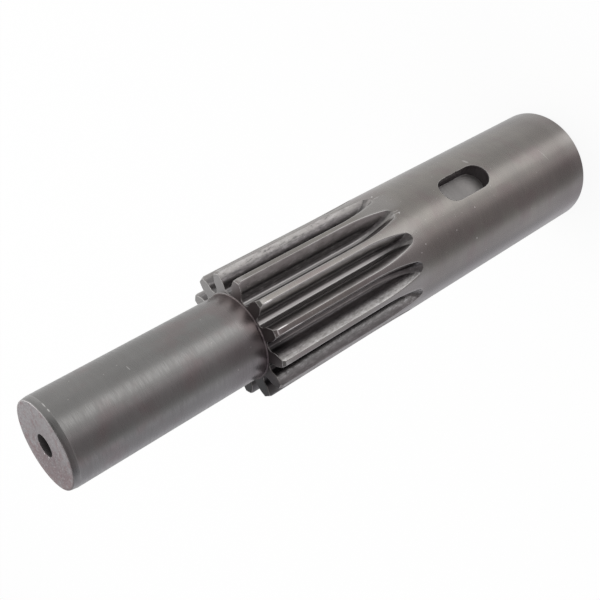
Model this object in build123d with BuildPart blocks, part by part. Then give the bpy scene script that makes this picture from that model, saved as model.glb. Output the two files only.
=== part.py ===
from build123d import *
import math
import os

# Arbor press spindle: one turned steel shaft with a thirteen-tooth pinion cut into its middle.
# It stands on the face of its thick end. Z runs along the axis, up towards the journal, with its
# origin at the centre of that face. The keyway faces +X. All lengths are millimetres.

# Teeth: standard full-depth involute teeth that run a rack
tooth_module = 2.0
tooth_count = 13
pressure_angle = 20.0
addendum = 1.0 * tooth_module
dedendum = 1.25 * tooth_module

# Diameters: the thick end is as large as the tips of the teeth, which are cut out of it
pitch_radius = tooth_module * tooth_count / 2
tip_radius = pitch_radius + addendum
root_radius = pitch_radius - dedendum
journal_radius = 10.0

# Heights above the face of the thick end
overall_length = 155.0
gear_end = 107.5
full_depth_from = 76.9

# Turned edges, each as its length along the axis and its depth
foot_chamfer = 0.5
gear_chamfer_length = 0.75
gear_chamfer_depth = 0.4
shoulder_fillet = 0.5
lead_in_length = 1.4
lead_in_depth = 0.25

# Hole in the journal's end, with a drill's pointed bottom
hole_radius = 2.5
hole_depth = 12.0
drill_point_angle = 118.0

# Keyway: an end-milled slot with round ends, a flat floor and broken edges
keyway_width = 7.0
keyway_length = 16.0
keyway_from = 32.5
keyway_depth = 3.75
keyway_edge = 0.12
cut_clearance = 1.0

# Hob: its teeth have a rack's straight sides, and its rim leaves the curved end of each gap
hob_radius = 21.0
hob_swing = 48.0
hob_corner = 0.35
hob_reach = tip_radius + 0.5
roll_steps = 4
roll_angle = 7.5
first_gap_angle = 7.2


def hob_half_width(radius):
    """Half the thickness of a hob tooth at a distance from the spindle's axis."""
    slope = math.tan(math.radians(pressure_angle))
    return math.pi * tooth_module / 4 + (radius - pitch_radius) * slope


os.makedirs("parts", exist_ok=True)

# One cut of the hob: straight through the gear end, and round the hob's axis at the other end
with BuildPart() as hob_cut:
    with BuildSketch(Plane.XY.offset(full_depth_from)) as hob_tooth:
        with BuildLine():
            corner_radius = root_radius + hob_corner
            Polyline(
                (root_radius, hob_corner - hob_half_width(root_radius)),
                (corner_radius, -hob_half_width(corner_radius)),
                (hob_reach, -hob_half_width(hob_reach)),
                (hob_reach, hob_half_width(hob_reach)),
                (corner_radius, hob_half_width(corner_radius)),
                (root_radius, hob_half_width(root_radius) - hob_corner),
                close=True,
            )
        make_face()
    extrude(amount=gear_end + cut_clearance - full_depth_from)
    hob_axis = Axis((root_radius + hob_radius, 0, full_depth_from), (0, -1, 0))
    revolve(hob_tooth.sketch, axis=hob_axis, revolution_arc=hob_swing)

# Tooth gap: the cuts that the hob makes while its tooth rolls past the spindle. Together they
# leave involute flanks, and below them the undercut that a pinion of thirteen teeth has.
with BuildPart() as gap:
    for step in range(-roll_steps, roll_steps + 1):
        roll = step * roll_angle
        rolled = Pos(0, pitch_radius * math.radians(roll), 0)
        with Locations(Rot(0, 0, -roll) * rolled):
            add(hob_cut.part)

# Spindle: the turned blank, then its hole, its keyway and its tooth gaps
with BuildPart() as spindle:
    with BuildSketch(Plane.XZ):
        with BuildLine():
            Polyline(
                (0, overall_length),
                (0, 0),
                (tip_radius - foot_chamfer, 0),
                (tip_radius, foot_chamfer),
                (tip_radius, gear_end - gear_chamfer_length),
                (tip_radius - gear_chamfer_depth, gear_end),
                (journal_radius + shoulder_fillet, gear_end),
            )
            RadiusArc(
                (journal_radius + shoulder_fillet, gear_end),
                (journal_radius, gear_end + shoulder_fillet),
                shoulder_fillet,
            )
            Polyline(
                (journal_radius, gear_end + shoulder_fillet),
                (journal_radius, overall_length - lead_in_length),
                (journal_radius - lead_in_depth, overall_length),
                (0, overall_length),
            )
        make_face()
    revolve(axis=Axis.Z)

    # Hole down the axis from the journal's end
    point_depth = hole_radius / math.tan(math.radians(drill_point_angle / 2))
    with BuildSketch(Plane.XZ):
        with BuildLine():
            Polyline(
                (0, overall_length),
                (hole_radius, overall_length),
                (hole_radius, overall_length - hole_depth),
                (0, overall_length - hole_depth - point_depth),
                close=True,
            )
        make_face()
    revolve(axis=Axis.Z, mode=Mode.SUBTRACT)

    # Keyway, sunk from the +X side to its flat floor, with its mouth broken
    keyway_middle = (0, keyway_from + keyway_length / 2)
    with BuildSketch(Plane.YZ.offset(tip_radius - keyway_depth)):
        with Locations(keyway_middle):
            SlotOverall(keyway_length, keyway_width, rotation=90)
    extrude(amount=keyway_depth + cut_clearance, mode=Mode.SUBTRACT)
    mouth = spindle.edges(Select.LAST).filter_by(lambda edge: edge.center().X > tip_radius - 1)
    chamfer(mouth, keyway_edge)

    # Teeth, left standing between thirteen equal gaps
    with PolarLocations(0, tooth_count, start_angle=first_gap_angle):
        add(gap.part, mode=Mode.SUBTRACT)

spindle.part.label = "spindle"
export_step(spindle.part, "parts/spindle.step")
print("volume mm3", round(spindle.part.volume), "faces", len(spindle.part.faces()))
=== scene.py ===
# %% [markdown]
# Arbor press spindle. It is one steel shaft: a thick end with a keyway, thirteen teeth cut into
# the middle, and a slim journal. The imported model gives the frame, in metres, with the foot on
# the floor at the origin, +Z up the shaft and +X out through the keyway. The solid could be
# shown as it is, but its loose triangles catch the light in flat patches, and it lacks the small
# rounding that makes worn edges shine. So this lesson makes a finer skin of the same shape.

# %% Load the frame
import math

import bpy
import numpy as np
from mathutils import Matrix, Vector


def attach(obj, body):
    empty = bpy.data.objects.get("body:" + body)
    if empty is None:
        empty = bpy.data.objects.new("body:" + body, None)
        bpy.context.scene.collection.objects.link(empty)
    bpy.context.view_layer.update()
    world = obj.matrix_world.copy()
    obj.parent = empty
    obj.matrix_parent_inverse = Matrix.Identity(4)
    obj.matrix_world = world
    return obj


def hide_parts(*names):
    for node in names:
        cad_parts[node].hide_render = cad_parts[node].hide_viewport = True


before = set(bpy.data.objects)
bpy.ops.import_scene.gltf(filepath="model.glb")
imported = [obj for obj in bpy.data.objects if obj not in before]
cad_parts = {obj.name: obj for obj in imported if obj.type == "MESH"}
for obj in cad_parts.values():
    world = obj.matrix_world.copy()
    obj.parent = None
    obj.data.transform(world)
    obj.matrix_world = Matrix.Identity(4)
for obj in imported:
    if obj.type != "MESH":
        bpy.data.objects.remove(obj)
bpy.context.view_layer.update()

# %% [markdown]
# The photograph was taken from close by, 33 degrees above the level, so that the shaft narrows
# with distance. A camera could be placed by eye, but every comparison with the photograph leans
# on it, so its numbers come from a fit to the spindle's outline. It is turned round its own line
# of sight, which is why a spindle that stands upright shows slantwise in the picture.

# %% Camera
CAMERA_AZIMUTH = math.radians(-20.6)
CAMERA_ELEVATION = 0.56833
CAMERA_DISTANCE = 0.219857
CAMERA_ROLL = -2.08809
AIM_SIDE = 0.00009
AIM_HEIGHT = 0.088969
FOCAL_PIXELS = 973.939
PICTURE_PIXELS = 600
SENSOR_WIDTH = 36.0


def compass(azimuth, elevation):
    """Unit vector at an azimuth from +X towards +Y and an elevation, both in radians."""
    flat = math.cos(elevation)
    return Vector((flat * math.cos(azimuth), flat * math.sin(azimuth), math.sin(elevation)))


back = compass(CAMERA_AZIMUTH, CAMERA_ELEVATION)
side = Vector((-math.sin(CAMERA_AZIMUTH), math.cos(CAMERA_AZIMUTH), 0.0))
up = back.cross(side)
right_axis = math.cos(CAMERA_ROLL) * side + math.sin(CAMERA_ROLL) * up
up_axis = -math.sin(CAMERA_ROLL) * side + math.cos(CAMERA_ROLL) * up
place = AIM_SIDE * side + Vector((0.0, 0.0, AIM_HEIGHT)) + CAMERA_DISTANCE * back

lens = bpy.data.cameras.new("photo_camera")
lens.sensor_width = SENSOR_WIDTH
lens.lens = FOCAL_PIXELS / PICTURE_PIXELS * SENSOR_WIDTH
lens.clip_start = 0.01
lens.clip_end = 20.0
camera = bpy.data.objects.new("photo_camera", lens)
pose = Matrix((right_axis, up_axis, back)).transposed().to_4x4()
pose.translation = place
camera.matrix_world = pose
bpy.context.scene.collection.objects.link(camera)
bpy.context.scene.camera = camera
print("lens", round(lens.lens, 2), "mm, camera at", [round(value, 4) for value in place])

# %% [markdown]
# The tips of the thirteen teeth are as large as the thick end, so that end is fifteen modules
# across, and a module of 2 mm makes it 30 mm. These are the sizes that several cells need, in
# millimetres and the same as in the solid. EDGE is the small rounding that a file and handling
# leave on turned and hobbed steel, and BLOCK_TOP is where the keyway's part of the skin ends.

# %% Sizes
MODULE = 2.0
TEETH = 13
PITCH = 2 * math.pi / TEETH
FIRST_GAP = math.radians(7.2)
DEDENDUM = 1.25 * MODULE
PITCH_RADIUS = MODULE * TEETH / 2
TIP_RADIUS = PITCH_RADIUS + MODULE
ROOT_RADIUS = PITCH_RADIUS - DEDENDUM
JOURNAL_RADIUS = 10.0
LENGTH = 155.0
GEAR_END = 107.5
BLOCK_TOP = 50.0
EDGE = 0.1
gap_azimuths = [round(math.degrees(FIRST_GAP + PITCH * k), 1) for k in range(-4, 2)]
print("tips", TIP_RADIUS, "roots", ROOT_RADIUS, "gaps in view at azimuths", gap_azimuths)

# %% [markdown]
# A skin is put together from rows of points, because a row can carry what a plain mesh can't.
# Each point has five marks for the finish: wear, on edges that rub bright; gap, on what the hob
# has cut; a flank mark, on one flank of each gap, which gets painted shade; root, on the bright
# floor of a gap; and a dark mark, where dried oil dulls the steel and painted shade darkens it.

# %% A skin of rows
MARKS = ("wear", "gap", "shaded_flank", "root", "oil")


class Skin:
    """Points in millimetres, faces and marks of a mesh that is being put together."""

    def __init__(self):
        self.points = []
        self.faces = []
        self.marks = {name: [] for name in MARKS}

    def ring(self, points, **marks):
        """Adds a row of points and returns their numbers."""
        first = len(self.points)
        count = len(points)
        self.points.extend(tuple(float(value) for value in point) for point in points)
        for name in MARKS:
            self.marks[name].extend(np.broadcast_to(marks.get(name, 0.0), count).astype(float))
        return list(range(first, first + count))

    def strip(self, lower, upper, closed=False):
        """Joins two rows by four-sided faces. The second row lies further along the surface."""
        if closed:
            lower = lower + lower[:1]
            upper = upper + upper[:1]
        for a, b, c, d in zip(lower, lower[1:], upper[1:], upper):
            self.faces.append((a, b, c, d))

    def mesh(self, label):
        """The finished mesh, in metres."""
        mesh = bpy.data.meshes.new(label)
        mesh.from_pydata([tuple(v * 0.001 for v in point) for point in self.points], [], self.faces)
        for name, values in self.marks.items():
            mark = mesh.attributes.new(name, "FLOAT", "POINT")
            mark.data.foreach_set("value", np.array(values, np.float32))
        mesh.update()
        return mesh


print("each point carries", ", ".join(MARKS))

# %% [markdown]
# A hob is a worm with straight-sided teeth that rolls past the turning blank. The gap that it
# leaves could be drawn from the formula of the involute, but the undercut below it follows
# another curve. Both come out at once from the way in which it is cut: the widest angle that
# the hob's tooth reaches at each radius, over all steps of the roll, is the gap's outline. ROLLS
# are those steps, in radians, and HOB_FLANK is how far up the hob's flank they are followed.

# %% Outline of a hobbed gap
FLANK_SLOPE = math.tan(math.radians(20.0))
HOB_CORNER = 0.35
HOB_FLANK = 9.0
ROLLS = np.linspace(-0.6, 0.6, 161)[:, None]


def gap_half_angles(radii, rise):
    """Half of the gap's angle at each radius, with the hob raised by rise."""
    rim = ROOT_RADIUS + rise
    half = math.pi * MODULE / 4 - DEDENDUM * FLANK_SLOPE
    corner_start = (half - HOB_CORNER, rim)
    corner_end = (half + HOB_CORNER * FLANK_SLOPE, rim + HOB_CORNER)
    sides = (
        ((-half + HOB_CORNER, rim), corner_start),
        (corner_start, corner_end),
        (corner_end, (half + HOB_FLANK * FLANK_SLOPE, rim + HOB_FLANK)),
    )
    widest = np.zeros(len(radii))
    for (x0, y0), (x1, y1) in sides:
        x0, x1 = x0 + PITCH_RADIUS * ROLLS, x1 + PITCH_RADIUS * ROLLS
        dx, dy = x1 - x0, y1 - y0
        a = dx**2 + dy**2
        b = x0 * dx + y0 * dy
        c = x0**2 + y0**2 - radii[None, :] ** 2
        under_root = b**2 - a * c
        t = (-b + np.sqrt(np.maximum(under_root, 0))) / a
        met = (under_root >= 0) & (t >= 0) & (t <= 1)
        angle = np.where(met, np.arctan2(x0 + t * dx, y0 + t * dy) - ROLLS, 0)
        widest = np.maximum(widest, angle.max(0))
    return widest


gap_width = 2 * PITCH_RADIUS * float(gap_half_angles(np.array([PITCH_RADIUS]), 0.0)[0])
print("gap on the pitch circle", round(gap_width, 3), "mm")
print("half a pitch, as it should be", round(math.pi * MODULE / 2, 3), "mm")

# %% [markdown]
# Where the hob lifts out of the work, its round rim leaves each gap with a curved end. A boolean
# cut could make it, but the same sum with the hob raised gives the section at any height and
# keeps the rows in order. How far the rim has risen follows from the hob's radius, and FIRST_CUT
# is the height at which a gap has only just begun. At the other end the chamfer of the blank
# lowers the lands of the teeth.

# %% Where the hob lifts
HOB_RADIUS = 21.0
FULL_DEPTH_FROM = 76.9
PAST_RUN_OUT = 13.5
TOOTH_DEPTH = TIP_RADIUS - ROOT_RADIUS
RUN_OUT_END = FULL_DEPTH_FROM - math.sqrt(2 * HOB_RADIUS * TOOTH_DEPTH - TOOTH_DEPTH**2)
FIRST_CUT = RUN_OUT_END + 0.004
GEAR_CHAMFER = (0.75, 0.4)


def hob_rise(z):
    """How far the hob's rim has lifted from the root at a height."""
    away = max(0.0, FULL_DEPTH_FROM - z)
    return HOB_RADIUS - math.sqrt(HOB_RADIUS**2 - min(away, PAST_RUN_OUT) ** 2)


def land_radius(z):
    """Radius of the tooth tips at a height, less the chamfer at the gear's end."""
    length, depth = GEAR_CHAMFER
    return TIP_RADIUS - depth * max(0.0, z - GEAR_END + length) / length


print("run-outs end at", round(RUN_OUT_END, 2), "mm, teeth end with radius", land_radius(GEAR_END))

# %% [markdown]
# The section is drawn from the middle of a gap to the middle of the next tooth. It has the same
# number of points at every height, so that rows can be joined point to point, and they crowd
# where the surface turns: on the curved root and at the small rounding between flank and land.
# The bright floor of a gap fades out in its run-out, where no tooth of the rack reaches.

# %% Half a pitch of the section
ROOT_STEPS = 9
FLANK_STEPS = 9
LAND_STEPS = 3
EDGE_COLUMN = ROOT_STEPS + FLANK_STEPS + 1
HALF_COLUMNS = EDGE_COLUMN + 1 + LAND_STEPS
WALL_POINTS = 90
ROOT_HEIGHT = 0.9
FLOOR_FADE = (66.0, 72.0)


def by_length(points, count):
    """Points at equal distances along a row of points."""
    steps = np.hypot(*np.diff(points, axis=0).T)
    along = np.concatenate([[0], np.cumsum(steps)])
    wanted = np.linspace(0, along[-1], count + 1)
    return np.stack([np.interp(wanted, along, points[:, axis]) for axis in (0, 1)], 1)


def half_outline(z):
    """From the middle of a gap to the middle of the next tooth, and the marks of each point."""
    rim = ROOT_RADIUS + hob_rise(z)
    top = land_radius(z)
    radii = rim + (top - rim) * np.linspace(0, 1, WALL_POINTS) ** 2
    angles = gap_half_angles(radii, rim - ROOT_RADIUS)
    angles[0] = 0
    wall = np.stack([radii * np.cos(angles), radii * np.sin(angles)], 1)
    turn = int(np.searchsorted(radii, rim + min(ROOT_HEIGHT, 0.5 * (top - rim))))
    root = by_length(wall[: turn + 1], ROOT_STEPS)
    flank = by_length(wall[turn:], FLANK_STEPS + 1)
    edge = min(EDGE, 0.3 * np.hypot(*(wall[-1] - wall[turn])))
    along = np.hypot(*(flank[-2] - flank[-1]))
    flank[-2] = flank[-1] + (flank[-2] - flank[-1]) * min(1.0, edge / along)
    flank[1:-1] = by_length(flank[:-1], FLANK_STEPS)[1:]
    tip = math.atan2(wall[-1][1], wall[-1][0])
    land = np.linspace(tip + edge / top, PITCH / 2, LAND_STEPS + 1)
    land = np.stack([top * np.cos(land), top * np.sin(land)], 1)
    middle = 0.5 * wall[-1] + 0.25 * (flank[-2] + land[0])
    outline = np.concatenate([root, flank[1:-1], [middle], land])
    columns = np.arange(HALF_COLUMNS + 1)
    above_rim = np.hypot(*outline.T) - rim
    marks = {
        "wear": np.interp(abs(columns - EDGE_COLUMN), (0, 1, 2), (1.0, 0.45, 0.0)),
        "gap": (columns < EDGE_COLUMN) * 1.0,
        "root": np.clip(1.5 - above_rim / 0.1, 0, 1) * np.interp(z, FLOOR_FADE, (0.0, 1.0)),
    }
    return outline, marks


print("points from a gap's middle to a tooth's middle", len(half_outline(90.0)[0]))

# %% [markdown]
# Two mirrored halves make one pitch, from tooth middle to tooth middle. Below the run-outs the
# shaft is round, and the same points stay on it: over a few millimetres they spread out evenly,
# so that they meet the points of the foot. One flank of each gap is marked for painted shade.

# %% One pitch of the section
SPREAD_OVER = 4.0


def sector_outline(z):
    """One pitch of the section at a height, from tooth middle to tooth middle."""
    half, marks = half_outline(max(z, FIRST_CUT))
    if z <= FIRST_CUT:
        blend = min(1.0, (FIRST_CUT - z) / SPREAD_OVER)
        blend = blend * blend * (3 - 2 * blend)
        angles = np.arctan2(half[:, 1], half[:, 0])
        angles = angles * (1 - blend) + np.linspace(0, PITCH / 2, HALF_COLUMNS + 1) * blend
        half = TIP_RADIUS * np.stack([np.cos(angles), np.sin(angles)], 1)
        marks = {name: values * 0 for name, values in marks.items()}
    full = np.concatenate([half[:0:-1] * (1, -1), half])
    marks = {name: np.concatenate([row[:0:-1], row]) for name, row in marks.items()}
    marks["shaded_flank"] = marks["gap"] * (full[:, 1] > 0)
    return full, marks


full_gap = sector_outline(90.0)[0]
print("root land", round(float(np.hypot(*full_gap[HALF_COLUMNS])), 3), "columns", len(full_gap))

# %% [markdown]
# All thirteen pitches are alike from the keyway's block upwards, so one of them is made here and
# the rest repeat it. Its rows climb the shaft, crowd at the start of the run-out, where the
# surface turns fastest, and climb the teeth. The rim of the run-out and the edge of the chamfer
# get their wear here, because they run across the rows.

# %% Rows from the block to the gear's chamfer
run_out_steps = (0.0, 0.012, 0.03, 0.07, 0.13, 0.22, 0.35, 0.5, 0.7, 0.95, 1.25, 1.6, 2.0, 2.5)
run_out_steps += (3.1, 3.8, 4.6, 5.5, 6.5, 7.5, 8.5, 9.5, 10.5, 11.5, 12.3)
chamfer_start = GEAR_END - GEAR_CHAMFER[0]
heights = [BLOCK_TOP, 53.0, 56.0, 58.0, 60.0, 61.0, 62.0, 63.0, 63.5, 63.8]
heights += [FIRST_CUT + step for step in run_out_steps]
heights += [FULL_DEPTH_FROM, 78.0, 82.0, 88.0, 94.0, 100.0, 105.0]
heights += [chamfer_start - 0.06, chamfer_start, chamfer_start + 0.06, GEAR_END - 0.3]

sector = Skin()
rows = []
for z in heights:
    outline, marks = sector_outline(z)
    if abs(z - chamfer_start) < 0.1:
        marks["wear"] = np.maximum(marks["wear"], 0.5 * (1 - marks["gap"]))
    if abs(z - RUN_OUT_END) < 0.03:
        marks["wear"] = np.maximum(marks["wear"], 0.8 * marks["gap"])
    rows.append(sector.ring([(x, y, z) for x, y in outline], **marks))
print("rows", len(rows), "up to", heights[-1], "mm")

# %% [markdown]
# The teeth end in a flat turned face with a broken edge. A Bevel modifier could round it, but
# would also catch the edges of the gaps. Instead the last outline moves into the steel while it
# climbs the same amount. The floor of the gap rubs on nothing, so the wear fades towards it.

# %% Rounded edge of the gear's end face


def inset(outline, depth):
    """The outline moved into the steel by a depth."""
    along = np.gradient(outline, axis=0)
    for end in (0, -1):
        x, y = outline[end]
        along[end] = (-y, x)
    along /= np.hypot(*along.T)[:, None]
    return outline - depth * np.stack([along[:, 1], -along[:, 0]], 1)


outline, marks = sector_outline(GEAR_END - EDGE)
off_root = np.clip((np.hypot(*outline.T) - ROOT_RADIUS) / 0.5, 0.15, 1.0)
for drop, depth, bright in ((EDGE, 0.0, 0.24), (0.03, 0.03, 0.8), (0.0, EDGE, 0.24)):
    edge_points = [(x, y, GEAR_END - drop) for x, y in inset(outline, depth)]
    rows.append(sector.ring(edge_points, wear=np.maximum(marks["wear"], bright) * off_root))
for lower, upper in zip(rows, rows[1:]):
    sector.strip(lower, upper)
print("tooth faces of one pitch", len(sector.faces))

# %% [markdown]
# The journal is ground to fit its bearing, and a small fillet joins it to the gear, as a sharp
# corner would start a crack. A Screw modifier could turn it, but arcs of one pitch let every
# edge carry its own wear and oil. They go from the gear's face round the fillet, up the journal,
# over the lead-in that finds the bearing, across the end and down the drilled hole to its point.

# %% Journal and hole
JOURNAL_COLUMNS = 12
SHOULDER_FILLET = 0.36
LEAD_IN_LENGTH, LEAD_IN_DEPTH = 1.4, 0.25
HOLE_RADIUS = 2.5
HOLE_FLOOR = LENGTH - 12.0
DRILL_POINT = HOLE_RADIUS / math.tan(math.radians(59.0))


def turned_ring(radius, z, wear=0.0, oil=0.0):
    """A row of the turned journal, one pitch long."""
    angles = np.linspace(-PITCH / 2, PITCH / 2, JOURNAL_COLUMNS + 1)
    points = [(radius * math.cos(a), radius * math.sin(a), z) for a in angles]
    return sector.ring(points, wear=wear, oil=oil)


journal = [turned_ring(JOURNAL_RADIUS + SHOULDER_FILLET, GEAR_END, oil=0.1)]
sector.faces.append(tuple(rows[-1]) + tuple(reversed(journal[0])))
for step in (1, 2, 3, 4):
    turn = math.radians(22.5 * step)
    away = SHOULDER_FILLET * (1 - math.sin(turn))
    climb = SHOULDER_FILLET * (1 - math.cos(turn))
    journal.append(turned_ring(JOURNAL_RADIUS + away, GEAR_END + climb, oil=0.3))
lead_start = LENGTH - LEAD_IN_LENGTH
lead_radius = JOURNAL_RADIUS - LEAD_IN_DEPTH
for row in (
    (JOURNAL_RADIUS, 109.0),
    (JOURNAL_RADIUS, 120.0),
    (JOURNAL_RADIUS, 132.0),
    (JOURNAL_RADIUS, 145.0),
    (JOURNAL_RADIUS, lead_start - 0.15),
    (JOURNAL_RADIUS, lead_start - 0.06, 0.3),
    (JOURNAL_RADIUS - 0.006, lead_start, 0.5),
    (JOURNAL_RADIUS - 0.02, lead_start + 0.08, 0.3),
    (lead_radius + 0.06, LENGTH - 0.3),
    (lead_radius + 0.015, LENGTH - 0.1, 0.3),
    (lead_radius - 0.02, LENGTH - 0.03, 0.5),
    (lead_radius - 0.1, LENGTH, 0.3),
    (lead_radius - 0.4, LENGTH),
    (6.0, LENGTH),
    (HOLE_RADIUS + 0.3, LENGTH),
    (HOLE_RADIUS + 0.1, LENGTH, 0.2, 0.1),
    (HOLE_RADIUS + 0.03, LENGTH - 0.03, 0.2, 0.4),
    (HOLE_RADIUS, LENGTH - 0.1, 0.0, 0.6),
    (HOLE_RADIUS, LENGTH - 1.0, 0.0, 0.8),
    (HOLE_RADIUS, HOLE_FLOOR + 0.1, 0.0, 1.0),
    (HOLE_RADIUS, HOLE_FLOOR, 0.0, 1.0),
    (HOLE_RADIUS - 0.1, HOLE_FLOOR - 0.06, 0.0, 1.0),
):
    journal.append(turned_ring(*row))
for lower, upper in zip(journal, journal[1:]):
    sector.strip(lower, upper)
point = sector.ring([(0.0, 0.0, HOLE_FLOOR - DRILL_POINT)], oil=1.0)[0]
for a, b in zip(journal[-1], journal[-1][1:]):
    sector.faces.append((a, b, point))
print("sector", len(sector.points), "points", len(sector.faces), "faces")

# %% [markdown]
# The keyway breaks the rule of thirteen, so the foot of the shaft is made on its own, up to the
# block's top. Its full rings use the same columns as the sectors, and so the two meet point to
# point. Where the keyway comes, the rings leave out a block of columns, which the next cell
# fills. The lowest rings are the chamfer of the foot and the face on which the spindle stands.

# %% Foot of the shaft
KEYWAY_CENTRES = (36.0, 45.0)
BLOCK_FOOT = 30.5
BLOCK_HALF_ANGLE = math.radians(18.0)
sector_angles = np.linspace(-PITCH / 2, PITCH / 2, 2 * HALF_COLUMNS + 1)[:-1]
angles = np.concatenate([FIRST_GAP + PITCH * k + sector_angles for k in range(TEETH)])
angles = np.sort((angles + math.pi) % (2 * math.pi) - math.pi)
foot = Skin()


def shaft_ring(radius, z, wear=0.0):
    """A full ring round the shaft."""
    return foot.ring([(radius * math.cos(a), radius * math.sin(a), z) for a in angles], wear=wear)


levels = [
    (14.38, 0.0, 0.3),
    (14.47, 0.015, 0.9),
    (14.56, 0.075, 0.3),
    (14.93, 0.44, 0.2),
    (14.982, 0.52, 0.6),
    (TIP_RADIUS, 0.62, 0.2),
]
levels += [(TIP_RADIUS, z) for z in (6.0, 18.0, 29.0, BLOCK_FOOT, 32.5, 34.0)]
levels += [(TIP_RADIUS, z) for z in (KEYWAY_CENTRES[0], 37.0, 38.0)]
levels += [(TIP_RADIUS, 39.0 + 0.4 * step) for step in range(15)]
levels += [(TIP_RADIUS, z) for z in (KEYWAY_CENTRES[1], 47.0, 48.5, BLOCK_TOP)]
rings = [shaft_ring(*level) for level in levels]
first_level = [level[1] for level in levels].index(BLOCK_FOOT)
left = int(np.argmin(abs(angles + BLOCK_HALF_ANGLE)))
right = int(np.argmin(abs(angles - BLOCK_HALF_ANGLE)))
foot.faces.append(tuple(reversed(rings[0])))
for number, (lower, upper) in enumerate(zip(rings, rings[1:])):
    if number < first_level:
        foot.strip(lower, upper, closed=True)
    else:
        foot.strip(lower[right:] + lower[: left + 1], upper[right:] + upper[: left + 1])
print("rings", len(rings), "the block leaves out", right - left, "columns")

# %% [markdown]
# The keyway is an end-milled slot with round ends. A boolean cut would leave long thin faces
# beside it, which shade badly on a round shaft. So rings shrink from the edge of the block to
# the slot's outline, roll over its mouth and go down the wall to the flat floor that the end
# mill leaves. One long side of the mouth is slightly chipped, with a fixed seed.

# %% Keyway
KEYWAY_HALF_WIDTH = 3.5
KEYWAY_FLOOR = TIP_RADIUS - 3.75
rim = [rings[first_level][c] for c in range(left, right)]
rim += [rings[level][right] for level in range(first_level, len(rings) - 1)]
rim += [rings[-1][c] for c in range(right, left, -1)]
rim += [rings[level][left] for level in range(len(rings) - 1, first_level, -1)]
rim_points = np.array([foot.points[number] for number in rim])[:, 1:]
middle = np.stack([0 * rim_points[:, 0], np.clip(rim_points[:, 1], *KEYWAY_CENTRES)], 1)
outwards = rim_points - middle
reach = np.hypot(*outwards.T)
outwards /= reach[:, None]
chips = np.random.default_rng(11).uniform(-0.05, 0.16, len(rim)).clip(0)
chips *= (outwards[:, 0] > 0.95) * (middle[:, 1] > 38.5) * (middle[:, 1] < 45.0)


def slot_ring(distance, sunk=0.0, x=None, chipped=0.0, **marks):
    """A ring round the slot at a distance from its middle line, on the shaft or at a depth."""
    flat = middle + outwards * np.reshape(distance + chipped * chips, (-1, 1))
    if x is None:
        x = np.sqrt(TIP_RADIUS**2 - flat[:, 0] ** 2) - sunk
    depths = np.broadcast_to(x, len(flat))
    return foot.ring([(depth, y, z) for depth, (y, z) in zip(depths, flat)], **marks)


mouth = KEYWAY_HALF_WIDTH
slot = [rim]
for share in (0.6, 0.3, 0.1):
    slot.append(slot_ring(mouth + 0.4 + (reach - mouth - 0.4) * share))
slot.append(slot_ring(mouth + 0.25))
slot.append(slot_ring(mouth + 0.11, chipped=0.6, wear=0.4))
slot.append(slot_ring(mouth + 0.035, 0.03, chipped=1.0, wear=0.6, oil=0.2))
slot.append(slot_ring(mouth, 0.1, chipped=1.0, wear=0.2, oil=0.9))
slot.append(slot_ring(mouth, 0.35, chipped=0.5, oil=1.0))
slot.append(slot_ring(mouth, x=KEYWAY_FLOOR + 0.06, oil=1.0))
slot.append(slot_ring(mouth - 0.015, x=KEYWAY_FLOOR + 0.015, oil=0.95))
slot.append(slot_ring(mouth - 0.06, x=KEYWAY_FLOOR, oil=0.3))
slot.append(slot_ring(mouth - 0.2, x=KEYWAY_FLOOR))
slot.append(slot_ring(mouth - 0.8, x=KEYWAY_FLOOR))
for outer, inner in zip(slot, slot[1:]):
    foot.strip(outer, inner, closed=True)
foot.faces.append(tuple(slot[-1]))
print("foot", len(foot.points), "points", len(foot.faces), "faces")

# %% [markdown]
# Thirteen equal teeth are a shape that follows a rule, so Geometry Nodes repeat the sector. An
# Array modifier could too, but needs an extra object to turn by. Here each of thirteen points at
# the axis carries a copy, turned by one more pitch. The copies become real, the foot joins them,
# and points that meet are merged, so that the skin is closed.

# %% Node group that repeats the sector
MERGE_DISTANCE = 0.000002


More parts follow.
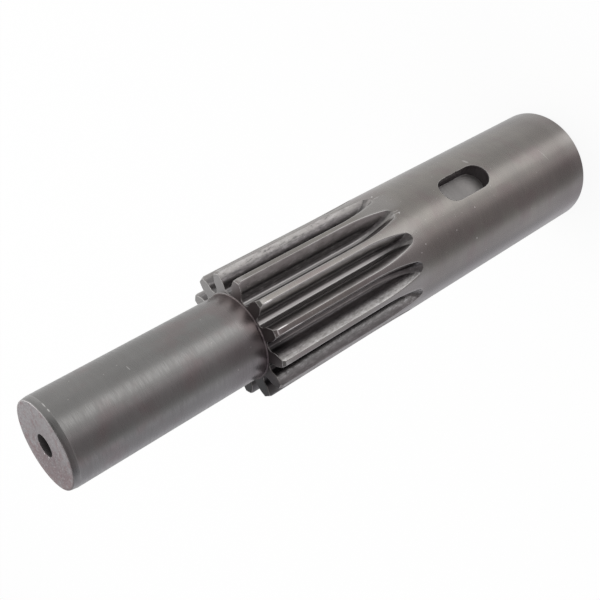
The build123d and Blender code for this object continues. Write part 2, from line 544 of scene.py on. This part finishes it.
def repeat_tree():
    """Node group: copies of a sector round the axis, joined with the foot."""
    tree = bpy.data.node_groups.new("thirteen_sectors", "GeometryNodeTree")
    face = tree.interface
    face.new_socket("Geometry", in_out="INPUT", socket_type="NodeSocketGeometry")
    face.new_socket("Teeth", in_out="INPUT", socket_type="NodeSocketInt")
    face.new_socket("First gap", in_out="INPUT", socket_type="NodeSocketFloat")
    face.new_socket("Foot", in_out="INPUT", socket_type="NodeSocketObject")
    face.new_socket("Steel", in_out="INPUT", socket_type="NodeSocketMaterial")
    face.new_socket("Geometry", in_out="OUTPUT", socket_type="NodeSocketGeometry")

    def node(kind, **settings):
        made = tree.nodes.new(kind)
        for name, value in settings.items():
            setattr(made, name, value)
        return made

    link = tree.links.new
    inputs = node("NodeGroupInput")
    points = node("GeometryNodePoints")
    link(inputs.outputs["Teeth"], points.inputs["Count"])
    pitch = node("ShaderNodeMath", operation="DIVIDE")
    pitch.inputs[0].default_value = 2 * math.pi
    link(inputs.outputs["Teeth"], pitch.inputs[1])
    turn = node("ShaderNodeMath", operation="MULTIPLY_ADD")
    link(node("GeometryNodeInputIndex").outputs["Index"], turn.inputs[0])
    link(pitch.outputs[0], turn.inputs[1])
    link(inputs.outputs["First gap"], turn.inputs[2])
    rotation = node("ShaderNodeCombineXYZ")
    link(turn.outputs[0], rotation.inputs["Z"])
    copies = node("GeometryNodeInstanceOnPoints")
    link(points.outputs[0], copies.inputs["Points"])
    link(inputs.outputs["Geometry"], copies.inputs["Instance"])
    link(rotation.outputs[0], copies.inputs["Rotation"])
    real = node("GeometryNodeRealizeInstances")
    link(copies.outputs[0], real.inputs[0])
    foot_part = node("GeometryNodeObjectInfo")
    link(inputs.outputs["Foot"], foot_part.inputs["Object"])
    joined = node("GeometryNodeJoinGeometry")
    link(foot_part.outputs["Geometry"], joined.inputs[0])
    link(real.outputs[0], joined.inputs[0])
    merged = node("GeometryNodeMergeByDistance")
    merged.inputs["Distance"].default_value = MERGE_DISTANCE
    link(joined.outputs[0], merged.inputs["Geometry"])
    smooth = node("GeometryNodeSetShadeSmooth")
    link(merged.outputs[0], smooth.inputs["Geometry"])
    again = node("GeometryNodeRealizeInstances")
    link(smooth.outputs[0], again.inputs[0])
    painted = node("GeometryNodeSetMaterial")
    link(again.outputs[0], painted.inputs["Geometry"])
    link(inputs.outputs["Steel"], painted.inputs["Material"])
    link(painted.outputs[0], node("NodeGroupOutput").inputs[0])
    return tree


sectors = repeat_tree()
print("node group", sectors.name, "with", len(sectors.nodes), "nodes")

# %% [markdown]
# The group runs on the sector's mesh as a modifier, and its result is kept as a plain mesh. A
# weighted-normal modifier after it keeps the flats flat right up to their edges, where smooth
# shading alone would bend the light. An edge that isn't shared by exactly two faces would be a
# leak in the skin, so they are counted.

# %% Close the skin
sector_mesh = sector.mesh("spindle_sector")
foot_object = bpy.data.objects.new("spindle_foot", foot.mesh("spindle_foot"))
bpy.context.scene.collection.objects.link(foot_object)
steel = bpy.data.materials.new("worn_dark_steel")
maker = bpy.data.objects.new("spindle_maker", sector_mesh)
bpy.context.scene.collection.objects.link(maker)
repeat = maker.modifiers.new("repeat", "NODES")
repeat.node_group = sectors
inputs = {"Teeth": TEETH, "First gap": FIRST_GAP, "Foot": foot_object, "Steel": steel}
for item in sectors.interface.items_tree:
    if item.name in inputs:
        repeat[item.identifier] = inputs[item.name]
flats = maker.modifiers.new("flats", "WEIGHTED_NORMAL")
flats.mode = "FACE_AREA"
flats.weight = 50
flats.keep_sharp = False
graph = bpy.context.evaluated_depsgraph_get()
skin_mesh = bpy.data.meshes.new_from_object(maker.evaluated_get(graph))
skin_mesh.name = "spindle_skin"
skin = bpy.data.objects.new("spindle_skin", skin_mesh)
bpy.context.scene.collection.objects.link(skin)
for helper in (maker, foot_object):
    bpy.data.objects.remove(helper)

uses = {}
for polygon in skin_mesh.polygons:
    for key in polygon.edge_keys:
        uses[key] = uses.get(key, 0) + 1
open_edges = sum(1 for count in uses.values() if count != 2)
triangles = sum(len(polygon.vertices) - 2 for polygon in skin_mesh.polygons)
print("skin", len(skin_mesh.vertices), "points", triangles, "triangles", open_edges, "open edges")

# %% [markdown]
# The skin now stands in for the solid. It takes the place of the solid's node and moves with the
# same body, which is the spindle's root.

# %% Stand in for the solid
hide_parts("spindle")
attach(skin, "root")
print("skin stands in for", sorted(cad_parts))

# %% [markdown]
# A finish is mostly arithmetic on masks, which a picture of a node tree hides. Written as plain
# expressions it can be read. This small class wraps a node's output, so that adding, multiplying
# or subtracting two of them makes the Math node in between.

# %% Arithmetic on sockets


class Socket:
    """A node's output that can be used in a Python expression."""

    def __init__(self, shader, output):
        self.shader = shader
        self.output = output

    def _math(self, operation, *values):
        return self.shader.node("ShaderNodeMath", {"operation": operation}, *values)

    def __add__(self, other):
        return self._math("ADD", self, other)

    __radd__ = __add__

    def __sub__(self, other):
        return self._math("SUBTRACT", self, other)

    def __rsub__(self, other):
        return self._math("SUBTRACT", other, self)

    def __mul__(self, other):
        return self._math("MULTIPLY", self, other)

    __rmul__ = __mul__

    def __truediv__(self, other):
        return self._math("DIVIDE", self, other)

    def step(self, low, high):
        """Rises smoothly from 0 to 1 between two values, or falls where low is above high."""
        settings = {"interpolation_type": "SMOOTHSTEP", "clamp": True}
        ends = {"From_Min": low, "From_Max": high}
        return self.shader.node("ShaderNodeMapRange", settings, Value=self, **ends)

    def most(self, other):
        """The larger of two values."""
        return self._math("MAXIMUM", self, other)

    def limit(self):
        """The value kept between 0 and 1."""
        return self._math("MINIMUM", self.most(0.0), 1.0)


print("sockets can be added, subtracted, multiplied, divided, stepped, compared and limited")

# %% [markdown]
# Every node of a material or a world comes from one method, which sets what the node does and
# then fills its sockets by place or by name, with a value or with another node's output. Colours
# go through Mix, because a Math node would turn them grey.

# %% Nodes from one method


class Shader:
    """Adds nodes to a material or world and links them by name or by place."""

    def __init__(self, owner):
        owner.use_nodes = True
        self.tree = owner.node_tree
        self.tree.nodes.clear()

    def fill(self, socket, value):
        """Gives an input a value, or links another node's output to it."""
        if isinstance(value, Socket):
            self.tree.links.new(value.output, socket)
        else:
            socket.default_value = value

    def node(self, kind, settings=None, *values, output=0, **named):
        """A node with its settings and the values or links of its sockets."""
        made = self.tree.nodes.new(kind)
        for name, value in (settings or {}).items():
            setattr(made, name, value)
        for place, value in enumerate(values):
            self.fill(made.inputs[place], value)
        for name, value in named.items():
            self.fill(made.inputs[name.replace("_", " ")], value)
        return Socket(self, made.outputs[output]) if made.outputs else None

    def mix(self, factor, first, second):
        """A colour between two colours, whose sockets share their names with plain numbers."""
        mixed = self.node("ShaderNodeMix", {"data_type": "RGBA"}, factor, output=2)
        for place, value in ((6, first), (7, second)):
            self.fill(mixed.output.node.inputs[place], value)
        return mixed


def tone(level, red=0.0, blue=0.0):
    """A near grey, with more or less red and blue by a share of its level."""
    return (level * (1 + red), level, level * (1 + blue), 1.0)


print("a warm dark grey is", [round(value, 3) for value in tone(0.2, 0.2)])

# %% [markdown]
# The steel is dark with oil and handling. The turned lengths keep the fine rings of grinding,
# what the hob cut keeps darker oil, and every edge that rubs is bright. Each length could have a
# material of its own, but height, distance from the axis and the marks tell the lengths apart,
# so one material is enough, and nothing changes abruptly where they meet.

# %% Where a point lies
shade = Shader(steel)
spot = shade.node("ShaderNodeTexCoord", output="Object")
x, y, z = (shade.node("ShaderNodeSeparateXYZ", None, spot, output=axis) * 1000 for axis in "XYZ")
radius = shade.node("ShaderNodeMath", {"operation": "SQRT"}, x * x + y * y)
around = shade.node("ShaderNodeMath", {"operation": "ARCTAN2"}, y, x) * radius
wear, gap, shaded_flank, root, oil = (
    shade.node("ShaderNodeAttribute", {"attribute_name": name}, output="Fac").limit()
    for name in MARKS
)


def between(low, full_from, full_to, high):
    """1 over a length of the spindle, with soft ends, by heights above the foot."""
    return z.step(low, full_from) * z.step(high, full_to)


def facing(azimuth, inner, outer):
    """1 on the side of the spindle that faces an azimuth and 0 away from it, in degrees."""
    turn = math.radians(azimuth)
    along = (x * math.cos(turn) + y * math.sin(turn)) / radius
    return along.step(math.cos(math.radians(outer)), math.cos(math.radians(inner)))


def tally(finish):
    """Prints how large the material has grown."""
    print(finish, "-", len(shade.tree.nodes), "nodes in the steel")


tally("places")

# %% [markdown]
# Nothing on used steel is even. Grinding leaves rings round the shaft, the hob leaves streaks
# along the teeth, and oil dries in blotches. Pictures of steel could show this, but noise on the
# object's own coordinates stays sharp from any distance and needs no unwrapping. Its stretch
# along the axis tells the processes apart.

# %% Noise


def noise(scale, detail, stretch, rough, shift):
    """Noise in millimetres: scale is how many features fit in one millimetre."""
    mapping = shade.node(
        "ShaderNodeMapping",
        None,
        spot,
        Location=(shift, shift * 0.7, shift * 1.3),
        Scale=(1000 * scale, 1000 * scale, 1000 * scale * stretch),
    )
    settings = {"Scale": 1.0, "Detail": detail, "Roughness": rough}
    return shade.node("ShaderNodeTexNoise", None, mapping, output="Fac", **settings)


grind = noise(0.3, 2.0, 11.0, 0.6, 3.0)
bands = noise(0.1, 3.0, 5.0, 0.6, 11.0)
blotch = noise(0.09, 4.0, 0.7, 0.6, 5.0)
stain = noise(0.6, 4.0, 1.0, 0.7, 23.0)
rust = noise(0.13, 3.0, 1.0, 0.55, 41.0)
grain = noise(2.2, 3.0, 1.0, 0.7, 7.0)
streak = noise(2.4, 2.0, 0.01, 0.6, 13.0)
patch = noise(0.16, 2.0, 0.6, 0.5, 31.0)
smear = noise(1.5, 3.0, 0.3, 0.65, 17.0)
scuff = noise(2.6, 3.0, 0.35, 0.7, 51.0)
tally("noise")

# %% [markdown]
# Colours go on in the order in which the real surface got them, so each finish is a list of
# coats over what is there. First comes the ground steel of the thick end and the journal, with
# its broad bands and a breath of brown, and a darker length near the foot.

# %% Ground steel


def coats(under, *layers):
    """Lays colours over a colour. Each layer is a mask, then its tone's level, red and blue."""
    for mask, *colour in layers:
        under = shade.mix(mask, under, tone(*colour))
    return under


on_journal = z.step(GEAR_END - 0.05, GEAR_END + 0.1)
cloudy = blotch.step(0.3, 0.7)
thick_end = shade.mix(cloudy, tone(0.235, 0.07, -0.06), tone(0.262, 0.07, -0.07))
slim_end = shade.mix(cloudy, tone(0.225, 0.02, -0.02), tone(0.25, 0.02, -0.02))
base = coats(
    shade.mix(on_journal, thick_end, slim_end),
    (bands.step(0.4, 0.7) * 0.25, 0.2, 0.05, -0.02),
    (rust.step(0.48, 0.68) * 0.55, 0.2, 0.2, 0.0),
    (z.step(18.0, 6.0) * 0.4, 0.17, 0.12, -0.02),
)
tally("ground steel")

# %% [markdown]
# The thick end isn't alike all round. Two of its sides get painted shade, and near the teeth
# two patches get painted light. Painting this with a brush would need an unwrapped skin. A mask
# that asks which way the surface faces does the same on any length.

# %% Painted shade and painted light on the sides
shaded_sides = facing(-94.0, 14.0, 25.0) * between(8.0, 18.0, 60.0, 68.0)
shaded_sides = shaded_sides + facing(62.0, 10.0, 28.0) * z.step(56.0, 36.0)
lit_patches = facing(-40.0, 15.0, 40.0) * between(58.0, 66.0, 76.0, 86.0)
lit_patches = lit_patches + facing(21.0, 7.0, 14.0) * between(58.0, 63.0, 69.0, 74.0)
base = coats(base, (shaded_sides * 0.4, 0.1, 0.05, 0.0), (lit_patches * 0.5, 0.33, 0.04, -0.02))
tally("sides")

# %% [markdown]
# The hob leaves brighter steel than grinding does. Painted shade darkens the gaps towards the
# root, and more on one flank of each. By their azimuth, the run-out ends and the lowest flank in
# view get more painted shade, and one flank gets painted light.

# %% Hobbed gaps
ragged = radius + (stain - 0.5) * 2.5
shaded_low_flank = gap * facing(-82.5, 5.0, 8.0)
base = coats(
    base,
    # All gaps: cut steel, painted shade on the lower half, and more on one flank
    (gap * 0.6, 0.38, 0.04, -0.02),
    (gap * radius.step(14.0, 12.3) * 0.5, 0.15, 0.05, 0.0),
    (shaded_flank * radius.step(14.4, 13.4) * 0.5, 0.07, 0.05, 0.1),
    # Painted shade on the ends of the run-outs at -20 and -48 degrees
    (gap * facing(-40.0, 25.0, 38.0) * z.step(69.5, 66.5) * 0.55, 0.1, 0.06, 0.0),
    # Painted light on the lower flank of the gap at -48 degrees
    (gap * ragged.step(14.3, 13.0) * facing(-56.0, 3.0, 4.5) * 0.8, 0.45, 0.04, 0.0),
    # Painted shade on the lowest flank in view, black near the shoulder
    (shaded_low_flank * 0.5, 0.1, -0.03, 0.03),
    (shaded_low_flank * ragged.step(13.6, 12.8) * z.step(88.0, 103.0) * 0.8, 0.04, 0.1, 0.0),
)
tally("gaps")

# %% [markdown]
# A rag drawn along the teeth leaves the oil in smears, and where the rack pushed hardest the
# flanks are scuffed bright and dark. Both could be drawn stroke by stroke, but noise that is
# stretched along the shaft gives hundreds of them. It is cut off at two levels, one for what is
# lighter and one for what is darker.

# %% Smears and scuffs along the teeth
speckled = gap * facing(41.0, 4.0, 7.0) * z.step(68.0, 76.0)
scuffed = gap * radius.step(12.6, 13.6) * facing(-62.0, 18.0, 26.0)
reddish = gap * facing(-46.0, 5.5, 7.5)
low_land = facing(-91.0, 6.5, 8.0) * between(60.0, 70.0, 107.0, 107.6)
clean_root = root * (1.0 - facing(-48.5, 6.0, 13.0) * 0.95)
base = coats(
    base,
    (gap * smear.step(0.5, 0.7) * 0.35, 0.5, 0.03, 0.0),
    (gap * smear.step(0.48, 0.3) * 0.4, 0.12, 0.05, 0.0),
    (speckled * smear.step(0.47, 0.33) * 0.5, 0.1, 0.0, 0.02),
    (speckled * grain.step(0.45, 0.35) * 0.4, 0.1, 0.0, 0.02),
    (scuffed * scuff.step(0.52, 0.66) * 0.55, 0.55, 0.0, 0.02),
    (scuffed * scuff.step(0.48, 0.36) * 0.45, 0.12, 0.03, 0.02),
    (reddish * 0.3, 0.07, 0.25, 0.08),
    # Painted shade on the land of the lowest tooth in view
    (low_land * 0.35, 0.1, 0.0, 0.02),
    (clean_root * (0.55 + streak.step(0.35, 0.65) * 0.45), 0.37, 0.03, -0.02),
)
tally("smears and scuffs")

# %% [markdown]
# The journal's end face was sawn and faced, and rust has started on its lower side: a mottle of
# grey and red-brown, redder towards one edge, with bright and dark grains. A photograph of rust
# would fit only this one face, so two noises make it: a coarse one chooses between the two
# colours, and a fine one gives the grains.

# %% End face of the journal
end_face = z.step(LENGTH - 0.07, LENGTH - 0.03)
reddened = 0.1 + facing(-140.0, 20.0, 130.0) * 0.75 + (stain - 0.5) * 6.0
mottled = shade.mix(reddened.limit(), tone(0.2, 0.07, 0.03), tone(0.12, 0.42, 0.03))
mottled = coats(mottled, (radius.step(6.5, 3.2) * 0.35, 0.12, 0.2, 0.05))
damp_side = end_face * facing(-126.0, 40.0, 95.0) * radius.step(9.0, 8.0)
shaded_rim = z.step(LENGTH - 0.15, LENGTH - 0.05) * radius.step(9.1, 9.6)
shaded_rim = shaded_rim * facing(-65.0, 50.0, 85.0)
lead_in = z.step(lead_start, lead_start + 0.1) * (1.0 - end_face)
base = coats(
    shade.mix(end_face, base, mottled),
    (damp_side * 0.25, 0.06, 0.4, 0.15),
    (end_face * grain.step(0.54, 0.66) * 0.55, 0.36, 0.03, 0.0),
    (end_face * grain.step(0.46, 0.34) * 0.6, 0.09, 0.2, 0.1),
    # Painted shade on the rim of the end face and on the lead-in
    (shaded_rim * 0.55, 0.09, 0.1, 0.0),
    (lead_in * 0.1, 0.1, 0.04, 0.0),
)
tally("end face")

# %% [markdown]
# The corner between the journal and the gear is where oil collects and no cloth reaches. It has
# dried brown on the journal all round. On the lower side, painted shade darkens the journal, the
# fillet, the gaps near the shoulder and the ends of the lower teeth, which are nearly black.
# Heights here are measured from the gear's end, since all of this happens within a few
# millimetres of it.

# %% Oil and painted shade in the corner at the gear's end


def past_gear(*heights):
    """1 over a length, with soft ends, by heights above the gear's end face."""
    return between(*(GEAR_END + height for height in heights))


corner = past_gear(0.0, 0.06, 0.1, 4.0)
shaded_warm_side = facing(-62.0, 25.0, 45.0) * past_gear(0.1, 2.5, 6.5, 13.5)
gear_face = past_gear(-0.1, -0.03, 0.03, 0.1)
shaded_low_corner = corner * facing(-95.0, 30.0, 70.0) * z.step(GEAR_END + 3.0, GEAR_END + 0.5)
oily_gaps = facing(-140.0, 35.0, 50.0) * z.step(98.0, 106.5) * 0.85
oily_roots = facing(-80.0, 33.0, 55.0) * z.step(99.0, 106.5) * radius.step(13.0, 11.5) * 0.8
fillet = past_gear(-0.1, -0.03, 0.45, 0.6) * radius.step(10.46, 10.41)
base = coats(
    base,
    (corner * (0.35 + rust.step(0.42, 0.56) * 0.4), 0.17, 0.28, -0.02),
    # Painted shade, warm, on the lower side of the journal near the gear
    (shaded_warm_side * 0.3, 0.11, 0.3, 0.08),
    (gear_face * 0.8, 0.18, 0.02, 0.0),
    # Painted shade on the lower side of the gear's end face and the ends of its lower teeth
    (gear_face * facing(-60.0, 75.0, 105.0) * 0.75, 0.08, 0.2, 0.0),
    (gear_face * facing(-130.0, 35.0, 60.0) * 0.95, 0.015, 0.0, 0.1),
    (gear_face * facing(-76.0, 26.0, 35.0) * 0.5, 0.015, 0.4, 0.15),
    # Painted shade in the gaps near the shoulder, the low corner and the fillet on the lower side
    (gap * (oily_gaps + oily_roots).limit(), 0.04, 0.06, 0.04),
    (shaded_low_corner * 0.7, 0.08, 0.4, 0.15),
    (fillet * facing(-75.0, 50.0, 75.0) * stain.step(0.62, 0.4), 0.05, 0.3, 0.1),
)
tally("corner")

# %% [markdown]
# The keyway's floor was left bright by the end mill, and painted light makes it brightest at
# its lower end, against the shade of the end wall. Its walls and the hole get painted shade,
# with the dull finish of dried oil. Height and distance from the axis can't tell a wall from its
# rounded edge, so the dark mark does, which was set row by row.

# %% Keyway floor, painted light and painted shade
milled = z.step(BLOCK_TOP, BLOCK_TOP - 1.0) * radius.step(14.0, 13.0)
milled = milled * x.step(KEYWAY_FLOOR - 0.01, KEYWAY_FLOOR - 0.005)
base = coats(
    base,
    (milled, 0.35, 0.04, -0.02),
    # Painted light on the lower end of the floor
    (milled * z.step(40.5, 36.0), 0.48, 0.04, -0.02),
    # Painted shade on the walls and in the hole
    (oil * 0.95, 0.042, 0.22, 0.05),
)
tally("keyway")

# %% [markdown]
# Last comes the rubbing that leaves edges bright. The shader could look for sharp edges by
# itself, but what it finds depends on how dense the mesh is there, so the wear mark says it.
# Rubbing isn't even, and a broad noise thins it. It is kept off the flat ends, and off the
# shaded rim and the low side of the gear, so that their painted shade stays dark.

# %% Rubbed edges
flat_ends = past_gear(-0.025, -0.002, 0.03, 0.1)
low_side = facing(-135.0, 45.0, 62.0) * z.step(106.2, 107.0) * 0.85
hidden = flat_ends.most(shaded_rim).most(low_side)
rubbed = wear * (1.0 - hidden) * (0.35 + patch.step(0.42, 0.6) * 0.5)
base = coats(base, (rubbed, 0.55, 0.02, -0.02))
tally("edges")

# %% [markdown]
# A loose shaft gets knocked. The smallest knocks are bright dots, thick near the ends of the
# gaps. A Voronoi texture scatters them: its cells give each dot a centre, and a random colour
# per cell chooses which of them show.

# %% Scattered knocks


def pits(scale, size, share, shift):
    """Scattered dots: size is in millimetres, and share is how many of the cells have one."""
    cells = {"Location": (shift, shift, shift), "Scale": (1000 * scale,) * 3}
    mapping = shade.node("ShaderNodeMapping", None, spot, **cells)
    distance = shade.node("ShaderNodeTexVoronoi", None, mapping, Scale=1.0, output="Distance")
    lot = shade.node("ShaderNodeTexVoronoi", None, mapping, Scale=1.0, output="Color")
    return distance.step(size * scale, 0.4 * size * scale) * lot.step(1.0 - share, 1.001 - share)


near_gaps = between(38.0, 56.0, 66.0, 80.0)
knocks = pits(0.5, 0.18, 0.4, 4.0) * 0.35 + pits(0.9, 0.14, 0.5, 9.0) * near_gaps * 0.35
base = coats(base, (knocks.limit(), 0.65, 0.04, -0.03))
tally("knocks")

# %% [markdown]
# A few scratches and dents are large enough to be told apart in the photograph, and a few thin
# edges there shine, which are painted highlights here. Noise can't put them in their places, so
# each is written down with its azimuth in degrees and its height in millimetres. A scratch and a
# painted highlight also have their half width, half length, slope and strength, and a dent its
# distance from the axis and its size.

# %% Single scratches, painted highlights and dents
SCRATCHES_AND_HIGHLIGHTS = (
    (-15.0, 12.7, 2.3, 0.07, 0.34, 0.2),
    (9.8, 136.2, 0.7, 0.12, 0.1, 0.33),
    # Painted highlights on the lit edge of the lead-in
    (20.9, 153.6, 0.8, 0.12, 0.0, 0.45),
    (11.5, 153.6, 0.5, 0.16, 0.0, 0.5),
    (19.0, 34.5, 1.0, 0.45, 0.2, 0.22),
    # Painted highlights along edges of two teeth near the gear's end
    (-32.0, 105.2, 0.14, 1.7, 0.0, 1.0),
    (-36.8, 103.0, 0.16, 3.6, 0.0, 1.0),
    (-34.3, 106.75, 0.64, 0.17, 0.0, 1.0),
    (-9.0, 105.3, 0.18, 1.5, 0.0, 0.9),
    (4.6, 63.2, 0.2, 1.4, 0.0, 0.22),
    (6.8, 63.0, 0.2, 1.1, 0.0, 0.18),
    (32.4, 62.6, 0.25, 1.2, 0.0, 0.2),
)
DENTS = (
    (TIP_RADIUS, -13.2, 42.5, 0.24),
    (TIP_RADIUS, -12.0, 38.9, 0.16),
    (TIP_RADIUS, -25.5, 42.5, 0.18),
    (TIP_RADIUS, -35.5, 50.7, 0.2),
    (TIP_RADIUS, -52.6, 44.7, 0.22),
    (TIP_RADIUS, -32.2, 61.2, 0.2),
    (TIP_RADIUS, -37.2, 63.2, 0.2),
    (TIP_RADIUS, 3.8, 62.6, 0.24),
    (TIP_RADIUS, 37.3, 62.7, 0.3),
    (3.0, -175.0, LENGTH, 0.24),
    (2.8, -142.0, LENGTH, 0.2),
)


def thin_mark(azimuth, height, across, along, slope):
    """A short mark on the surface: its half sizes round and along the shaft."""
    side_way = around - radius * math.radians(azimuth)
    up_way = z - height - side_way * slope
    side_way, up_way = side_way / across, up_way / along
    return (side_way * side_way + up_way * up_way).step(1.0, 0.3)


def dent(distance, azimuth, height, size):
    """A small round dot."""
    turn = math.radians(azimuth)
    dx, dy, dz = x - distance * math.cos(turn), y - distance * math.sin(turn), z - height
    return (dx * dx + dy * dy + dz * dz).step(size * size, 0.3 * size * size)


for *where, strength in SCRATCHES_AND_HIGHLIGHTS:
    base = coats(base, (thin_mark(*where) * strength, 0.9, 0.02, -0.02))
for where in DENTS:
    base = coats(base, (dent(*where) * 0.7, 0.8, 0.02, -0.02))
tally("scratches and dents")

# %% [markdown]
# Steel shows its finish by how sharply it mirrors. Ground lengths are the smoothest, with rings
# that are a little duller than the rest, and the rusted end, the milled floor and dried oil are
# rough. The rings also get a very shallow bump, which the cut teeth show less. Dried oil isn't
# metal, so it takes most of the metal's shine away.

# %% Gloss and relief
roughness = 0.24 + grind.step(0.3, 0.7) * (0.05 + on_journal * 0.07) + corner * 0.15
roughness = roughness + gap * 0.05 + end_face * 0.14 + gear_face * 0.1
roughness = roughness + oil * 0.15 + milled * 0.3
toothed = between(60.0, 76.0, 107.0, 107.6)
relief = (grind * 0.6 + grain * 0.4) * (1.0 - toothed * 0.6)
bumped = shade.node("ShaderNodeBump", None, Strength=0.12, Distance=0.00004, Height=relief)
surface = shade.node(
    "ShaderNodeBsdfPrincipled",
    None,
    Base_Color=base,
    Metallic=1.0 - oil * 0.7,
    Roughness=roughness,
    Normal=bumped,
)
shade.node("ShaderNodeOutputMaterial", None, surface)
tally("finished")

# %% [markdown]
# A product photograph stands on white paper. More light on the object could turn the paper
# white, but would bleach the steel too. So the floor glows for the camera and for rays that come
# by a mirror or through glass, and for all other light it is matte paper that keeps the
# spindle's shadow. The steel mirrors the light tent of the next cell in its place.

# %% Paper floor
FLOOR_RADIUS = 4.0
floor_skin = Skin()
floor_ring = [
    (1000 * FLOOR_RADIUS * math.cos(a), 1000 * FLOOR_RADIUS * math.sin(a), 0.0)
    for a in np.linspace(0, 2 * math.pi, 97)[:-1]
]
floor_skin.faces.append(tuple(floor_skin.ring(floor_ring)))
floor = bpy.data.objects.new("studio_floor", floor_skin.mesh("studio_floor"))
bpy.context.scene.collection.objects.link(floor)
paper = bpy.data.materials.new("white_paper")
floor.data.materials.append(paper)


def rays(shader):
    """Whether a ray comes from the camera, from a mirror or through glass."""
    kinds = ("Is Camera Ray", "Is Glossy Ray", "Is Transmission Ray")
    return [shader.node("ShaderNodeLightPath", output=kind) for kind in kinds]


paint = Shader(paper)
seen, mirrored, through = rays(paint)
matte = paint.node("ShaderNodeBsdfDiffuse", None, Color=tone(0.9))
glow = paint.node("ShaderNodeEmission", None, Color=tone(1.0), Strength=1.0)
lift = (seen * 0.9 + mirrored * 0.9 + through * 0.9).limit()
lit_paper = paint.node("ShaderNodeMixShader", None, lift, matte, glow)
paint.node("ShaderNodeOutputMaterial", None, lit_paper)
floor.visible_glossy = False
print("floor", 2 * FLOOR_RADIUS, "m across,", len(paint.tree.nodes), "nodes")

# %% [markdown]
# Steel shows what lies round it, and a light tent is white cloth all round the object. Its
# upright folds are brighter or dimmer, which gives a round shaft its long bright and dark bands,
# and on the photographer's side an opening shows the darker room. Each fold could be a lamp, but
# in the world's colour they stay put in every view and need no extra objects.

# %% Light tent
TENT_LEVEL = 0.86
ROOM_LEVEL = 0.27
FILL = 0.45
FOLDS = (
    (20.0, 3.0, 18.0, 0.7),
    (-44.0, 8.0, 38.0, -0.5),
    (55.0, 5.0, 24.0, -0.12),
    (-112.0, 10.0, 32.0, -0.14),
)
world = bpy.data.worlds.new("studio_world")
bpy.context.scene.world = world
sky = Shader(world)
seen, mirrored, through = rays(sky)
direction = sky.node("ShaderNodeTexCoord", output="Generated")
east, north, height = (
    sky.node("ShaderNodeSeparateXYZ", None, direction, output=axis) for axis in "XYZ"
)
flat = sky.node("ShaderNodeMath", {"operation": "SQRT"}, east * east + north * north + 0.0001)


def panel(azimuth, inner, outer):
    """An upright fold of the tent: 1 inside, 0 outside, by degrees from its middle."""
    turn = CAMERA_AZIMUTH + math.radians(azimuth)
    along = (east * math.cos(turn) + north * math.sin(turn)) / flat
    return along.step(math.cos(math.radians(outer)), math.cos(math.radians(inner)))


tent = TENT_LEVEL
for azimuth, inner, outer, change in FOLDS:
    tent = tent + panel(azimuth, inner, outer) * change
tent = tent - panel(-165.0, 8.0, 22.0) * height.step(0.15, -0.05) * 0.2
room = height.step(-0.24, -0.04) * height.step(0.93, 0.75) * panel(-28.0, 60.0, 88.0)
tent = tent + room * (ROOM_LEVEL - tent)
shown = (seen + through).limit()
level = FILL * (1.0 - shown - mirrored).limit() + shown + mirrored * tent
tint = sky.mix(mirrored * panel(-30.0, 12.0, 34.0), tone(1.0), tone(0.98, 0.08, 0.03))
tint = sky.mix(mirrored * panel(-115.0, 25.0, 50.0), tint, tone(0.98, 0.01, 0.06))
background = sky.node("ShaderNodeBackground", None, Color=tint, Strength=level)
sky.node("ShaderNodeOutputWorld", None, background)
print("tent", len(sky.tree.nodes), "nodes")

# %% [markdown]
# Two large soft lamps give the spindle its shading and its shadow. The key stands behind it and
# draws the soft shadow towards the viewer, and the other, high on one side, fills the tops of
# the teeth. Small lamps would leave hard shadows that the photograph doesn't have.

# %% Lamps
LAMP_DISTANCE = 1.6
LAMP_WIDTH = 1.5
LAMP_TARGET = Vector((0.0, 0.0, 0.07))


def softbox(name, azimuth, elevation, power):
    """A square lamp that faces the spindle, at an azimuth from the camera's, in degrees."""
    lamp = bpy.data.lights.new(name, "AREA")
    lamp.shape = "RECTANGLE"
    lamp.size = lamp.size_y = LAMP_WIDTH
    lamp.energy = power
    holder = bpy.data.objects.new(name, lamp)
    towards = compass(CAMERA_AZIMUTH + math.radians(azimuth), math.radians(elevation))
    holder.location = LAMP_TARGET + LAMP_DISTANCE * towards
    holder.rotation_euler = towards.to_track_quat("Z", "Y").to_euler()
    bpy.context.scene.collection.objects.link(holder)
    print(name, power, "W at", [round(value, 2) for value in holder.location])


softbox("key_box", 140.0, 55.0, 14.0)
softbox("top_box", -70.0, 70.0, 9.0)

# %% [markdown]
# The Standard view shows a colour about as it is written, which a filmic one would grey. The
# skin has to keep to the solid's size.

# %% View
bpy.context.scene.view_settings.view_transform = "Standard"
